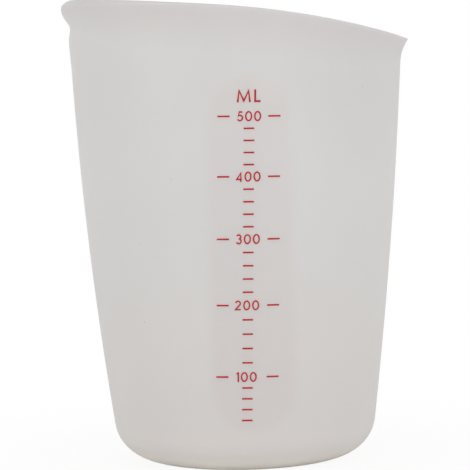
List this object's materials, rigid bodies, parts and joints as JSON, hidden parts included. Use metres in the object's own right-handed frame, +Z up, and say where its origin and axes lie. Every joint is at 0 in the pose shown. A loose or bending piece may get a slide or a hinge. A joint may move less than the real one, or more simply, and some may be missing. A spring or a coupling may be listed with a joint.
{
  "type": "silicone measuring cup",
  "caption": "One-piece flexible measuring cup with a tapered round wall, a flared slanted rim drawn to a pouring point, a round foot and a printed millilitre scale.",
  "frame": {"origin": "centre of the round underside, on the surface that the cup stands on", "axes": "+Z up along the axis of the foot, +X towards the pouring point, -Y towards the side with the printed scale"},
  "size_m": [0.1016, 0.0972, 0.135],
  "materials": {
    "silicone": "matte milky translucent silicone",
    "ink": "flat crimson print"
  },
  "bodies": {
    "root": {"cup_body": "silicone", "mark_100_left": "ink", "mark_100_right": "ink", "mark_200_left": "ink", "mark_200_right": "ink", "mark_300_left": "ink", "mark_300_right": "ink", "mark_400_left": "ink", "mark_400_right": "ink", "mark_500_left": "ink", "mark_500_right": "ink", "tick_020": "ink", "tick_040": "ink", "tick_060": "ink", "tick_080": "ink", "tick_120": "ink", "tick_140": "ink", "tick_160": "ink", "tick_180": "ink", "tick_220": "ink", "tick_240": "ink", "tick_260": "ink", "tick_280": "ink", "tick_320": "ink", "tick_340": "ink", "tick_360": "ink", "tick_380": "ink", "tick_420": "ink", "tick_440": "ink", "tick_460": "ink", "tick_480": "ink"}
  },
  "joints": []
}
